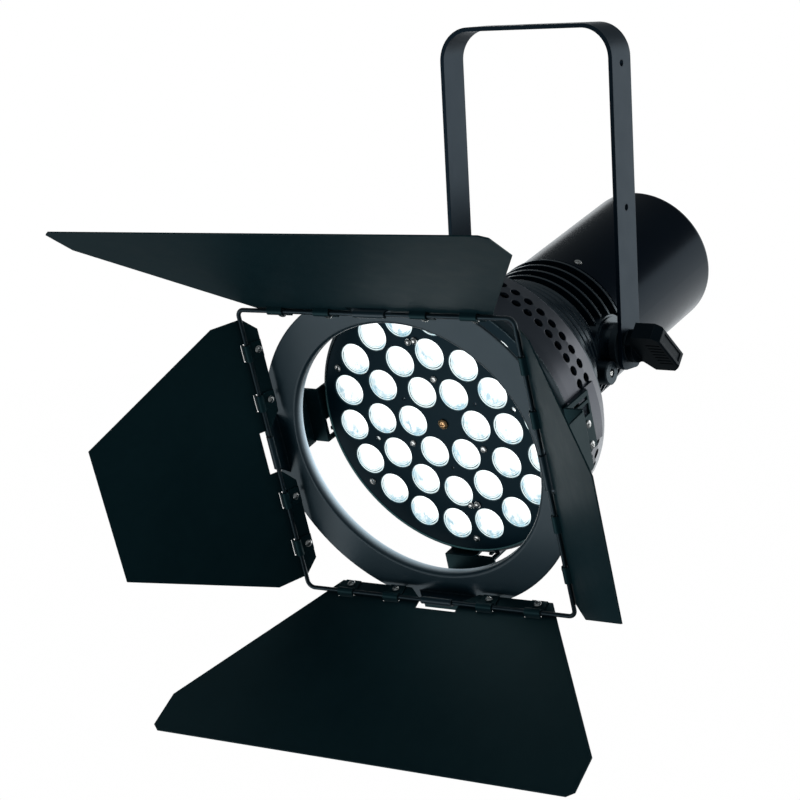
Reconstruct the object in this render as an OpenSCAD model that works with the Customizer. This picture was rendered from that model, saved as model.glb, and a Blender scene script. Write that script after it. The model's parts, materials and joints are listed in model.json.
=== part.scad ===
// LED par spotlight with a four-leaf barn door, hung from a flat-bar yoke.
// Millimetres. +Z is up, +X is the lamp's right, and the beam leaves towards -Y,
// tipped down by head_tilt. The origin is the centre of the clamp hole, on the
// top face of the yoke. Head pieces are drawn about the tilt axis with y running
// back along the beam axis, and in_head() sets them in place.

/* [Yoke] */
// Outside width of the yoke
yoke_w = 140; // [140:0.5:142]
// Height of the top face above the tilt axis
yoke_h = 222; // [214:1:240]
// Width of the flat bar
bar_w = 25; // [22:1:28]
// Thickness of the flat bar
bar_t = 3; // [2.5:0.1:3]
// Outside radius of the two bends
bend_r = 24; // [18:1:30]
// Length of each leg below the tilt axis
leg_drop = 16; // [14:1:20]
// Diameter of the clamp hole in the top
clamp_hole_d = 13; // [10:0.5:14]
// Diameter of the accessory holes in the right leg
side_hole_d = 4.6; // [4:0.1:6]
// Height of the lower accessory hole above the tilt axis
side_hole_low = 96; // [80:1:110]
// Distance between the two accessory holes
side_hole_pitch = 98; // [80:1:100]

/* [Head] */
// Downward tilt of the beam at rest, in degrees
head_tilt = 15.1; // [-30:0.1:90]
// Outside radius of the rear can
can_r = 53; // [52.8:0.1:54]
// Distance from the tilt axis to the front edge of the can
can_front = 22.5; // [22:0.5:24]
// Distance from the tilt axis to the rear end of the can
can_rear = 157; // [150:1:175]
// Outside radius of the thin cooling fins
fin_r = 54.3; // [53.5:0.1:54.5]
// Distance between neighbouring fins
fin_pitch = 9.5; // [9:0.5:10]
// Distance from the tilt axis to the front face of the lamp plate
plate_front = 136; // [134:0.5:138]
// Outside radius of the front bezel
bezel_r = 98.4; // [98:0.1:99]
// Diameter of the round vent holes in the drum
vent_d = 6.8; // [5:0.2:7.2]

/* [Lenses] */
// Diameter of one lens
lens_d = 22.7; // [20:0.1:23]
// Radius of the innermost lens circle
lens_ring = 25.4; // [25:0.1:25.6]
// Turn of the outermost lens circle, in degrees
outer_turn = 5; // [0:1:19]

/* [Barn door] */
// Half the side of the square hinge wire
wire_half = 105.6; // [105.2:0.1:106]
// Diameter of the hinge wire
wire_d = 3; // [2.8:0.1:3.2]
// Distance from the tilt axis to the plane of the hinge wire
wire_front = 187.5; // [187:0.1:188]
// Outside radius of the holder ring
ring_r = 117; // [115.6:0.1:117]
// Radius of the beam opening in the holder ring
ring_bore_r = 92; // [90:1:93]
// Sideways play of the door frame in its holders
barn_x = 1.5; // [-2:0.1:2]
// Up and down play of the door frame in its holders
barn_z = -2.1; // [-2.2:0.1:1]
// Forward lean of the door frame in its holders, in degrees
barn_pitch = 0.9; // [-1:0.1:1]
// Sideways turn of the door frame in its holders, in degrees
barn_yaw = 2.1; // [-1:0.1:2.2]
// Opening angle of the top leaf from the beam axis, in degrees
open_top = 43.7; // [-10:0.1:100]
// Opening angle of the right leaf, in degrees
open_right = 44.2; // [-10:0.1:100]
// Opening angle of the bottom leaf, in degrees
open_bottom = 16.8; // [-10:0.1:100]
// Opening angle of the left leaf, in degrees
open_left = 31.5; // [-10:0.1:100]
// Thickness of the leaf sheet
leaf_t = 1; // [0.8:0.1:1.2]

/* [Tilt knobs] */
// Length of the T handle
knob_len = 44; // [36:1:48]
// Thickness of the T handle
knob_t = 12; // [10:0.5:14]
// Turn of the right T handle about the tilt axis, in degrees
knob_turn = -39.3; // [-180:0.1:180]
// Diameter of the knob stud
stud_d = 8; // [6:1:8]

/* [Hidden] */
$fn = 64;
fit_gap = 0.08;
air_gap = 0.35;
leg_face = yoke_w / 2;
leg_inner = leg_face - bar_t;
washer_t = 1.2;
knob_base = leg_face + washer_t + air_gap;
pad_face = 54.8;
disc_face = 61.5;
bumper_at = [0, -22.4, -11];
bumper_r = 8.3;
bumper_base = 53;
bumper_face = 65;
disc_end = leg_inner - air_gap;
first_rib = -2 * fin_pitch;
rib_slope = 0.42;
rib_t = 3.4;
fin_t = 1.8;
core_r = 42;
core_bore_r = 30;
spigot_r = can_r - 1.6;
drum_rear = -84;
drum_front = -131.5;
plate_t = 2.2;
plate_y = -plate_front;
plate_back = plate_y + plate_t;
lens_face = plate_y + 1.2;
board_face = -118;
board_t = 4;
back_wall = board_face + board_t + 6;
rings = [[6, 1, 0], [12, 2, 0], [18, 3, outer_turn]];
post_spots = concat([for (i = [0:2]) [33, 90 + 120 * i]], [for (i = [0:5]) [86.5, 35 + 60 * i]]);
barn_mid = 180;
ring_front = -174;
ring_t = 2;
pad_z = 99.2;
holder_t = 1.5;
holder_w = 40;
foot_end = -139;
arm_z = 111.5;
wall_reach = foot_end + barn_mid;
channel_gap = 0.4;
latch_y = -143;
latch_z = 118;
holder_screw_x = [1.6, 16.5];
holder_screw_y = -117;
holder_rear = -110;
window_x = [-16.5, -4];
panel_front = can_rear - 3;
panel_t = 2;
panel_r = 46.8;
wire_r = wire_d / 2;
leaf_n = wire_r + air_gap;
clip_w = 12;
clip_t = 1;
arch_in = wire_r + fit_gap;
arch_out = arch_in + clip_t;
clip_spots = [-74, -37, 37, 74];
clip_screw_v = -7.4;
clip_reach = 10.9;
screw_r = 1.5;
hole_r = 1.6;
wide_leaf = [[83.2, -11], [97.2, 10], [162, 105], [162, 132], [157, 136]];
narrow_leaf = [[87.3, -11], [97.5, -1.5], [98, 20.5], [49, 122]];
stand_off = [[-16, 62], [16, 62], [-16, 132], [16, 132]];
button_x = [-15, -5, 5, 15];
button_z = 14;
button_r = 3;

// ---- placing ----

module in_head() {
    translate([0, 0, -yoke_h]) rotate([head_tilt, 0, 0]) children();
}

// The door frame leans a little in its holders, about the middle of its depth
module in_barn() {
    in_head() translate([barn_x, -barn_mid, barn_z]) rotate([barn_pitch, 0, 0])
        rotate([0, 0, barn_yaw]) translate([0, barn_mid, 0]) children();
}

// k = 0 top, 1 right, 2 bottom, 3 left: z is outward and x runs along the side
module on_side(k) {
    rotate([0, 90 * k, 0]) children();
}

module both_sides() {
    children();
    mirror([1, 0, 0]) children();
}

// Leaf frame: x along the hinge, -y away from the lamp, z outward, hinge at 0
module on_leaf(k, open) {
    in_barn() on_side(k) translate([0, -wire_front, wire_half]) rotate([-open, 0, 0]) children();
}

// ---- shapes ----

// Solid of revolution about the beam axis from [radius, y] points
module turned(points) {
    rotate([-90, 0, 0]) rotate_extrude($fn = 120) polygon(points);
}

module rod_x(r, x0, x1) {
    translate([x0, 0, 0]) rotate([0, 90, 0]) cylinder(r = r, h = x1 - x0);
}

module rod_y(r, y0, y1) {
    translate([0, y0, 0]) rotate([-90, 0, 0]) cylinder(r = r, h = y1 - y0);
}

// Places children on a circle about the beam axis, angle from +x towards +z
module at_polar(r, a) {
    rotate([0, -a, 0]) translate([r, 0, 0]) children();
}

function arc(cx, cy, r, a0, a1, n) = [for (i = [0:n]) [cx + r * cos(a0 + (a1 - a0) * i / n),
                                                       cy + r * sin(a0 + (a1 - a0) * i / n)]];

function mirrored(points) = concat([for (p = points) [p[0], -p[1]]],
                                   [for (i = [len(points) - 1:-1:0]) [-points[i][0], -points[i][1]]]);

// Pan-head screw: head above z = 0, shank below, with a cross recess
module pan_screw(head_r, head_h, shank_r, shank_l) {
    difference() {
        cylinder(r = head_r, h = head_h);
        for (a = [0, 90]) rotate([0, 0, a])
            translate([-head_r * 0.55, -head_r * 0.13, head_h * 0.45])
                cube([head_r * 1.1, head_r * 0.26, head_h]);
    }
    translate([0, 0, -shank_l]) cylinder(r = shank_r, h = shank_l);
}

// ---- yoke ----

module yoke_outline(inset) {
    w = leg_face - inset;
    r = bend_r - inset;
    translate([-w, -yoke_h - leg_drop]) square([2 * w, yoke_h + leg_drop - inset - r]);
    translate([-w + r, -inset - r]) square([2 * (w - r), r]);
    for (s = [-1, 1]) translate([s * (w - r), -inset - r]) circle(r = r);
}

module yoke() {
    foot_r = 6;
    color("#1b1d20") difference() {
        intersection() {
            translate([0, bar_w / 2, 0]) rotate([90, 0, 0]) linear_extrude(bar_w) yoke_outline(0);
            union() {
                translate([-leg_face, -bar_w / 2, -yoke_h - leg_drop + foot_r])
                    cube([yoke_w, bar_w, yoke_h + leg_drop]);
                translate([-leg_face, -bar_w / 2 + foot_r, -yoke_h - leg_drop])
                    cube([yoke_w, bar_w - 2 * foot_r, foot_r + 1]);
                for (s = [-1, 1])
                    translate([0, s * (bar_w / 2 - foot_r), -yoke_h - leg_drop + foot_r])
                        rod_x(foot_r, -leg_face, leg_face);
            }
        }
        translate([0, bar_w, -1]) rotate([90, 0, 0]) linear_extrude(2 * bar_w) {
            w = leg_inner;
            r = bend_r - bar_t;
            translate([-w, -yoke_h - leg_drop]) square([2 * w, yoke_h + leg_drop - bar_t - r + 1]);
            translate([-w + r, -bar_t - r + 1]) square([2 * (w - r), r]);
            for (s = [-1, 1]) translate([s * (w - r), -bar_t - r + 1]) circle(r = r);
        }
        translate([0, 0, -2 * bar_t]) cylinder(d = clamp_hole_d, h = 3 * bar_t);
        for (h = [side_hole_low, side_hole_low + side_hole_pitch])
            translate([0, 0, h - yoke_h]) rod_x(side_hole_d / 2, 0, yoke_w);
        translate([0, 0, -yoke_h]) rod_x(stud_d / 2 + fit_gap, -yoke_w, yoke_w);
    }
}

module yoke_washers() {
    color("#3a3c3f") translate([0, 0, -yoke_h]) both_sides() difference() {
        rod_x(11.5, leg_face, leg_face + washer_t);
        rod_x(stud_d / 2 + air_gap, leg_face - 1, leg_face + 2 * washer_t);
    }
}

// ---- tilt knobs, drawn on +x with the T along y ----

module knob_shape() {
    hub_r = 11.5;
    t_base = knob_base + 10.2;
    t_face = t_base + 20;
    half = knob_len / 2;
    difference() {
        union() {
            rod_x(hub_r, knob_base, knob_base + 5);
            intersection() {
                translate([0, 0, -knob_t / 2]) linear_extrude(knob_t)
                    polygon([[knob_base, -hub_r], [knob_base + 5, -hub_r], [t_base, -half],
                             [t_face - 5, -half], [t_face, -half + 5], [t_face, half - 5],
                             [t_face - 5, half], [t_base, half], [knob_base + 5, hub_r],
                             [knob_base, hub_r]]);
                rotate([90, 0, 0]) translate([0, 0, -knob_len]) linear_extrude(2 * knob_len)
                    polygon([[knob_base, -knob_t / 2], [t_face - 1, -knob_t / 2],
                             [t_face, -knob_t / 2 + 1], [t_face, knob_t / 2 - 1],
                             [t_face - 1, knob_t / 2], [knob_base, knob_t / 2]]);
            }
        }
        rod_x(stud_d / 2 + 0.02, knob_base - 1, t_base + 8);
        translate([t_face - 0.8, -half + 8, -3.2]) cube([2, knob_len - 16, 6.4]);
        for (s = [-1, 1], i = [-3:3])
            translate([t_base + 7, i * 4 - 0.7, s * knob_t / 2 - 0.7]) cube([11, 1.4, 1.4]);
    }
}

module knob_right() {
    color("#101113") translate([0, 0, -yoke_h]) rotate([knob_turn, 0, 0]) knob_shape();
}

module knob_left() {
    color("#101113") translate([0, 0, -yoke_h]) mirror([1, 0, 0]) rotate([-knob_turn, 0, 0]) knob_shape();
}

module stud_shape() {
    rod_x(stud_d / 2, 45, knob_base + 17);
}

module stud_right() {
    color("#8c8f92") translate([0, 0, -yoke_h]) stud_shape();
}

module stud_left() {
    color("#8c8f92") translate([0, 0, -yoke_h]) mirror([1, 0, 0]) stud_shape();
}

// ---- neck, pivots and bumpers ----

function rib_r(y) = y > first_rib - 1 ? fin_r : fin_r + (first_rib - y) * rib_slope;

// Rib number i, counted in fin pitches from the tilt axis, with one softened rear edge
module rib(i, inner) {
    y = i * fin_pitch;
    turned([[inner, y - rib_t / 2], [rib_r(y) - 0.6, y - rib_t / 2],
            [rib_r(y), y - rib_t / 2 + 0.6], [rib_r(y), y + rib_t / 2], [inner, y + rib_t / 2]]);
}

module finned_neck() {
    color("#141518") in_head() difference() {
        union() {
            turned([[core_bore_r, back_wall], [core_r, back_wall], [core_r, can_front],
                    [core_bore_r, can_front]]);
            for (i = [-4:-2]) rib(i, core_r - 1);
            for (i = [-1:2]) {
                y = i * fin_pitch;
                turned([[core_r - 1, y - fin_t / 2], [fin_r, y - fin_t / 2],
                        [fin_r, y + fin_t / 2], [core_r - 1, y + fin_t / 2]]);
            }
            turned([[core_bore_r, can_front - 1.5], [spigot_r, can_front - 1.5],
                    [spigot_r, can_front + 13], [spigot_r - 3, can_front + 13],
                    [spigot_r - 3, can_front], [core_bore_r, can_front]]);
            both_sides() {
                rod_x(21, 36, pad_face - 1.2);
                rod_x(19.5, 36, pad_face);
                translate(bumper_at) rod_x(bumper_r, 40, bumper_base);
            }
        }
        both_sides() {
            rod_x(stud_d / 2 + fit_gap, 43, pad_face + 1);
            translate(bumper_at) rod_x(bumper_r + fit_gap, bumper_base, bumper_face + 1);
            translate(bumper_at) rod_x(hole_r, 44, bumper_base + 1);
        }
        for (a = [67, 187, 307]) translate([0, can_front + 6, 0]) at_polar(can_r - 8, a) rod_x(hole_r, 0, 12);
    }
}

// Rear half of the drum: a cup that closes on the neck, with the board seat in front
module drum_back() {
    cup_r = 84;
    wall = 3;
    color("#15171a") in_head() {
        turned([[core_r, -41], [58, -50], [91, -80], [91, drum_rear - 4], [cup_r, drum_rear - 4],
                [cup_r, board_face + board_t], [core_bore_r, board_face + board_t],
                [core_bore_r, back_wall], [cup_r - wall, back_wall], [cup_r - wall, -78],
                [55, -54], [core_r, -50]]);
        rib(-5, 50);
        rotate([0, -57, 0]) translate([57, -78, -9]) cube([14, 22, 18]);
    }
}

module friction_discs() {
    color("#1d1f22") in_head() both_sides() difference() {
        rod_x(15.7, pad_face, disc_face);
        rod_x(stud_d / 2 + air_gap, pad_face - 1, disc_face + 1);
    }
}

module friction_washers() {
    color("#2b2d30") in_head() both_sides() difference() {
        rod_x(16.4, disc_face, disc_end);
        rod_x(stud_d / 2 + air_gap, disc_face - 1, disc_end + 1);
    }
}

module side_bumpers() {
    rim = 0.6;
    color("#2c2e31") in_head() both_sides() translate(bumper_at) difference() {
        union() {
            rod_x(bumper_r, bumper_base, bumper_face - rim);
            rod_x(bumper_r - rim, bumper_face - rim, bumper_face);
        }
        rod_x(hole_r, bumper_base - 1, bumper_face + 1);
        rod_x(3.1, bumper_face - 1.4, bumper_face + 1);
    }
}

module bumper_screws() {
    color("#a8abae") in_head() both_sides() translate(bumper_at + [bumper_face - 1.4, 0, 0])
        rotate([0, 90, 0]) pan_screw(2.9, 1.2, screw_r, 18);
}

// ---- drum and lamp face ----

module lamp_drum() {
    rows = [[-109, 5.7, 12], [-98.5, 6.27, 11]];
    color("#1a1c20") in_head() difference() {
        union() {
            turned([[91.05, drum_rear], [93, drum_rear], [94.2, drum_rear - 1.4], [96.6, -98],
                    [98, -112], [98.4, -126], [98.4, drum_front], [96, drum_front],
                    [95.6, -112], [94.2, -98], [92.2, -88], [91.05, -88]]);
            for (k = [0:3]) on_side(k) drum_pad();
        }
        for (row = rows, k = [0:3], i = [0:row[2] - 1])
            translate([0, row[0], 0])
                at_polar(85, 90 * k + 45 + (i - (row[2] - 1) / 2) * row[1]) rod_x(vent_d / 2, 0, 20);
        for (k = [0:3]) on_side(k) {
            for (x = holder_screw_x) translate([x, holder_screw_y, 90]) cylinder(r = hole_r, h = 12);
            translate([window_x[0], -129, 85]) cube([window_x[1] - window_x[0], 16, 16]);
        }
    }
}

// Seat of a holder: flat under the plate, rounded with the drum behind it
module drum_pad() {
    front = drum_front + 0.5;
    translate([-holder_w / 2, front, 94]) cube([holder_w, holder_rear + 1.5 - front, pad_z - 94]);
    intersection() {
        translate([-holder_w / 2, holder_rear, 90]) cube([holder_w, 13, 12]);
        difference() {
            rod_y(99.2, holder_rear, holder_rear + 13);
            rod_y(94.4, holder_rear - 1, holder_rear + 14);
        }
    }
}

module front_bezel() {
    round_r = 5.8;
    color("#141619") in_head() turned(concat(
        [[plate_edge(), plate_y + 2.4], [plate_edge(), plate_y - 0.4]],
        arc(bezel_r - round_r, drum_front, round_r, -66, 0, 8),
        [[95.8, drum_front], [95.8, plate_y + 2.4]]));
}

function plate_edge() = 94.9;

module lens_spots() {
    for (ring = rings, i = [0:ring[0] - 1])
        at_polar(ring[1] * lens_ring, ring[2] + 360 / ring[0] * i) children();
}

module lamp_plate() {
    color("#0d0e10") in_head() difference() {
        union() {
            rod_y(plate_edge() - 0.2, plate_y, plate_back);
            for (p = post_spots) at_polar(p[0], p[1]) rod_y(2.8, plate_back - 0.5, board_face);
        }
        lens_spots() rod_y(lens_d / 2 + 0.3, plate_y - 1, plate_back + 1);
        for (p = post_spots) at_polar(p[0], p[1]) rod_y(hole_r, plate_y - 1, plate_back + 6);
        for (i = [0:2]) at_polar(33, 30 + 120 * i) rod_y(1.1, plate_y - 1, plate_back + 1);
        for (a = [14, 195]) at_polar(60, a) rod_y(1.9, plate_y - 1, plate_back + 1);
        for (a = [101, 281], d = [-2.6, 2.6]) at_polar(61, a) translate([0, 0, d])
            rod_y(hole_r, plate_y - 1, plate_back + 1);
        rod_y(hole_r + 0.5, plate_y - 1, plate_back + 1);
    }
}

module plate_screws() {
    color("#b9bcc0") in_head() for (p = post_spots) at_polar(p[0], p[1])
        translate([0, plate_y, 0]) rotate([90, 0, 0]) pan_screw(2.5, 1.3, screw_r, 8);
}

module centre_screw() {
    color("#b98a52") in_head() translate([0, plate_y, 0]) rotate([90, 0, 0])
        pan_screw(3.6, 2.2, 2, 17.5);
}

module plate_studs() {
    color("#c9cbce") in_head() for (a = [101, 281], d = [-2.6, 2.6]) at_polar(61, a)
        translate([0, 0, d]) {
            rod_y(screw_r, plate_y, plate_back + 2);
            intersection() {
                translate([0, plate_y, 0]) sphere(r = 2.3);
                rod_y(3, plate_y - 3, plate_y);
            }
        }
}

module led_lenses() {
    color("#f4f8ff") in_head() lens_spots() rotate([-90, 0, 0]) rotate_extrude($fn = 48)
        polygon([[0, lens_face], [lens_d / 2 - 0.9, lens_face], [lens_d / 2, lens_face + 0.9],
                 [lens_d / 2, lens_face + 2.5], [7, board_face - 2.5], [0, board_face - 2.5]]);
}

module led_emitters() {
    color("#fff6d8") in_head() lens_spots() translate([-2.5, board_face - 1.2, -2.5])
        cube([5, 1.2, 5]);
}

module led_board() {
    color("#d8dadd") in_head() difference() {
        rod_y(91, board_face, board_face + board_t);
        rod_y(2.1, board_face - 1, board_face + board_t + 1);
    }
}

// ---- rear can and its electronics ----

module rear_can() {
    edge_r = 5;
    wall = 1.5;
    color("#121316") in_head() difference() {
        turned(concat(
            [[can_r - wall, can_front], [can_r - 0.5, can_front], [can_r, can_front + 0.5]],
            arc(can_r - edge_r, can_rear - edge_r, edge_r, 0, 90, 8),
            [[panel_r + 0.2, can_rear], [panel_r + 0.2, panel_front], [40, panel_front],
             [40, panel_front - 3], [can_r - wall, panel_front - 3]]));
        for (a = [67, 187, 307]) translate([0, can_front + 6, 0]) at_polar(can_r - 4, a) rod_x(hole_r, 0, 12);
        for (a = [45:90:315]) at_polar(43, a) rod_y(hole_r, panel_front - 4, panel_front + 1);
    }
}

module can_screws() {
    color("#b3b6ba") in_head() for (a = [67, 187, 307])
        translate([0, can_front + 6, 0]) at_polar(can_r, a) rotate([0, 90, 0])
            pan_screw(2.7, 1.3, screw_r, 5);
}

module rear_panel() {
    color("#17191c") in_head() difference() {
        rod_y(panel_r, panel_front, panel_front + panel_t);
        for (x = button_x) translate([x, 0, button_z])
            rod_y(button_r + air_gap, panel_front - 1, can_rear);
        for (s = [-1, 1]) translate([24 * s, 0, -5]) rod_y(10.2, panel_front - 1, can_rear);
        translate([0, 0, -28]) rod_y(10.2, panel_front - 1, can_rear);
        for (a = [45:90:315]) at_polar(43, a) rod_y(hole_r, panel_front - 1, can_rear);
        for (s = [-1, 1], i = [0:2]) translate([s * (30 + 3.6 * i) - 0.9, panel_front - 1, 10])
            cube([1.8, panel_t + 2, 10]);
    }
}

module rear_screws() {
    color("#a8abae") in_head() for (a = [45:90:315]) at_polar(43, a)
        translate([0, panel_front + panel_t, 0]) rotate([-90, 0, 0]) pan_screw(2.5, 1.2, screw_r, 5);
}

module display() {
    color("#0a1a2c") in_head() translate([-18, panel_front + panel_t, 20]) difference() {
        cube([36, 1.6, 16]);
        translate([3, 1, 2.5]) cube([30, 1, 11]);
    }
}

module socket_shape() {
    difference() {
        union() {
            rod_y(10, panel_front - 14, panel_front + panel_t);
            rod_y(12.4, panel_front + panel_t, panel_front + panel_t + 2);
        }
        rod_y(8.6, panel_front - 9, can_rear + 8);
    }
}

module power_inlet() {
    color("#1f4f8f") in_head() translate([0, 0, -28]) socket_shape();
}

module data_sockets() {
    color("#24262a") in_head() for (s = [-1, 1]) translate([24 * s, 0, -5]) socket_shape();
}

module button(i) {
    color("#3b3e43") in_head() translate([button_x[i], 0, button_z]) {
        rod_y(button_r, panel_front - 2.4, panel_front + panel_t + 2);
        rod_y(button_r + 1.2, panel_front - 2.4, panel_front - 0.8);
    }
}

module button_menu() { button(3); }
module button_down() { button(2); }
module button_up() { button(1); }
module button_enter() { button(0); }

module fan_frame() {
    color("#202225") in_head() difference() {
        union() {
            turned([[35, can_front], [39, can_front], [39, can_front + 16], [35, can_front + 16]]);
            rod_y(12, can_front + 12.5, can_front + 16);
            for (a = [45:90:315]) rotate([0, a, 0])
                translate([10, can_front + 13, -1.5]) cube([26.5, 3, 3]);
        }
        rod_y(2.05, can_front + 11, can_front + 17);
    }
}

module fan_rotor() {
    color("#2a2c30") in_head() {
        rod_y(2, can_front + 10, can_front + 15.5);
        rod_y(13, can_front + 2, can_front + 11.8);
        for (i = [0:6]) rotate([0, 360 / 7 * i, 0]) translate([12, can_front + 7, 0])
            rotate([35, 0, 0]) translate([0, -4.5, -0.6]) cube([21.5, 9, 1.2]);
    }
}

module inner_tray() {
    color("#9a9da1") in_head() {
        translate([-31, 46, -4]) cube([62, 90, 1.5]);
        for (y = [60, 120]) translate([-51.3, y, -4]) cube([102.6, 10, 1.5]);
    }
}

module power_supply() {
    color("#b7babd") in_head() difference() {
        translate([-29, 56, -34]) cube([58, 74, 30]);
        for (i = [0:7]) translate([-24, 64 + 8 * i, -35]) cube([48, 3, 2]);
    }
}

module driver_board() {
    color("#1d5a34") in_head() {
        translate([-31, 54, 8]) cube([62, 82, 1.6]);
        for (i = [0:3]) translate([-22 + 14 * i, 66, 9.6]) cube([9, 9, 8]);
        translate([-8, 92, 9.6]) cube([16, 16, 2.4]);
        for (x = [-20, 20]) translate([x, 122, 9.6]) cylinder(r = 5, h = 14);
    }
}

module board_posts() {
    color("#c0a060") in_head() for (p = stand_off) translate([p[0], p[1], -2.5])
        cylinder(r = 2.6, h = 10.5);
}

// ---- ring holders and latch ----

// How far the channel of holder k stands out, and forward, with the door frame's lean
function lean_up() = barn_z + wall_reach * sin(barn_pitch);
function lean_right() = barn_x - wall_reach * sin(barn_yaw);
function lean_out(k) = [lean_up(), lean_right(), -lean_up(), -lean_right()][k];
function lean_back(k) = arm_z * [-sin(barn_pitch), sin(barn_yaw), sin(barn_pitch), -sin(barn_yaw)][k];

module holder_base(k) {
    difference() {
        union() {
            translate([-holder_w / 2, foot_end, pad_z])
                cube([holder_w, holder_rear - foot_end, holder_t]);
            translate([-holder_w / 2, foot_end, pad_z])
                cube([holder_w, holder_t, arm_z + holder_t + lean_out(k) - pad_z]);
        }
        for (x = holder_screw_x) translate([x, holder_screw_y, pad_z - 1]) cylinder(r = hole_r, h = 4);
        translate([window_x[0], -136, pad_z - 1]) cube([window_x[1] - window_x[0], 24, 4]);
        translate([0.5, -126.5, pad_z - 1]) cube([18, 3, 4]);
    }
    translate([-14, -132, pad_z]) cube([2.4, 21, holder_t]);
}

module holder_channel(k) {
    back = ring_front + ring_t + channel_gap;
    front = ring_front - channel_gap;
    outer = ring_r + 0.6;
    lip_z = 111.6;
    translate([-holder_w / 2, back, arm_z])
        cube([holder_w, foot_end + 1.2 - lean_back(k) - back, holder_t]);
    translate([-holder_w / 2, back, arm_z]) cube([holder_w, holder_t, outer + holder_t - arm_z]);
    translate([-holder_w / 2, front - 1.3, outer])
        cube([holder_w, back + holder_t - front + 1.3, holder_t]);
    translate([-holder_w / 2, front - 1.3, lip_z]) cube([holder_w, 1.3, outer + holder_t - lip_z]);
}

module holder(k) {
    color("#15171a") {
        in_head() on_side(k) holder_base(k);
        in_barn() on_side(k) holder_channel(k);
    }
}

module holder_right() { holder(1); }
module holder_bottom() { holder(2); }
module holder_left() { holder(3); }

module holder_top() {
    color("#15171a") {
        in_head() holder_base(0);
        in_barn() difference() {
            for (s = [-1, 1]) translate([s * (holder_w / 2 - 1) - 1, -147, 104]) cube([2, 11, 17]);
            translate([0, latch_y, latch_z]) rod_x(hole_r, -holder_w, holder_w);
        }
    }
}

module latch_pin() {
    color("#a8abae") in_barn() translate([0, latch_y, latch_z]) difference() {
        rod_x(screw_r, -holder_w / 2 - 1.6, holder_w / 2 + 1.6);
        rod_x(0.4, holder_w / 2 + 0.8, holder_w);
    }
}

module ring_latch() {
    half = holder_w / 2 - 2.5;
    back = ring_front + ring_t + channel_gap;
    front = ring_front - channel_gap;
    outer = ring_r + 0.8;
    color("#1b1d20") in_barn() difference() {
        union() {
            translate([0, latch_y, latch_z]) rod_x(3.2, -half, half);
            translate([-half, front - 1.3, outer]) cube([2 * half, latch_y - front + 1.3, holder_t]);
            translate([-half, back, outer - 2]) cube([2 * half, holder_t, 3]);
            translate([-half, front - 1.3, 112.4]) cube([2 * half, 1.3, outer + holder_t - 112.4]);
            translate([-8, -158, outer]) cube([16, 5, 7]);
        }
        translate([0, latch_y, latch_z]) rod_x(screw_r + fit_gap, -holder_w, holder_w);
    }
}

module holder_screws() {
    color("#b3b6ba") in_head() for (k = [0:3], x = holder_screw_x) on_side(k)
        translate([x, holder_screw_y, pad_z + holder_t]) pan_screw(2.8, 1.5, screw_r, 8);
}

// ---- barn door frame ----

module ring_plate() {
    lip = 3;
    tab_in = wire_half + wire_r + 0.02;
    tab_out = tab_in + 1.2;
    color("#16181b") in_barn() {
        turned(concat(
            [[ring_r, ring_front + ring_t], [ring_r, ring_front]],
            arc(ring_bore_r + lip, ring_front + lip, lip, 270, 180, 6),
            [[ring_bore_r, ring_front + 7], [ring_bore_r + 1.5, ring_front + 7]],
            arc(ring_bore_r + lip + 0.3, ring_front + lip + 0.3, 1.4, 180, 270, 4)));
        for (k = [0:3]) on_side(k) {
            translate([0, 0, tab_in]) linear_extrude(tab_out - tab_in)
                polygon([[-23, ring_front + 0.5], [-12, -wire_front], [12, -wire_front],
                         [23, ring_front + 0.5]]);
            translate([0, -wire_front, wire_half]) difference() {
                rod_x(wire_r + 1.22, -12, 12);
                rod_x(wire_r + 0.02, -13, 13);
                translate([-13, 0, -wire_r - 2]) cube([26, wire_r + 2, 2 * wire_r + 1.98]);
            }
        }
    }
}

module wire_frame() {
    bend = 5;
    straight = wire_half - bend;
    color("#222427") in_barn() translate([0, -wire_front, 0]) for (k = [0:3]) on_side(k) {
        translate([0, 0, wire_half]) rod_x(wire_r, -straight, straight);
        translate([straight, 0, straight]) rotate([90, 0, 0])
            rotate_extrude(angle = 90) translate([bend, 0]) circle(r = wire_r);
    }
}

// ---- leaves ----

module leaf(k, open, half_outline) {
    color("#14191b") on_leaf(k, open) translate([0, 0, leaf_n]) difference() {
        linear_extrude(leaf_t) polygon(mirrored(half_outline));
        translate([0, 0, -1]) linear_extrude(leaf_t + 2)
            polygon(mirrored([[27.8, -12], [15.8, -2], [15.8, 6]]));
        for (s = clip_spots) {
            translate([s - clip_w / 2 - 0.4, -arch_out - 1, -1]) cube([clip_w + 0.8, 3, leaf_t + 2]);
            translate([s, -clip_screw_v, -1]) cylinder(r = hole_r, h = leaf_t + 2);
        }
    }
}

// Saddle clips: a tab under the screw, an arch over the wire and a leg in the slot
module clips(k, open) {
    color("#0f1113") on_leaf(k, open) for (s = clip_spots) translate([s, 0, 0]) {
        difference() {
            rod_x(arch_out, -clip_w / 2, clip_w / 2);
            rod_x(arch_in, -clip_w, clip_w);
            translate([-clip_w, -clip_w, 0]) cube(2 * clip_w);
        }
        translate([-clip_w / 2, -arch_out, 0]) cube([clip_w, clip_t, leaf_n + leaf_t + 1.4]);
        difference() {
            union() {
                translate([-clip_w / 2, arch_in, 0]) cube([clip_w, clip_t, leaf_n]);
                translate([-clip_w / 2, arch_in, leaf_n - clip_t]) cube([clip_w, clip_reach - arch_in, clip_t]);
            }
            translate([0, -clip_screw_v, -1]) cylinder(r = hole_r, h = leaf_n + 2);
        }
    }
}

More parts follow.
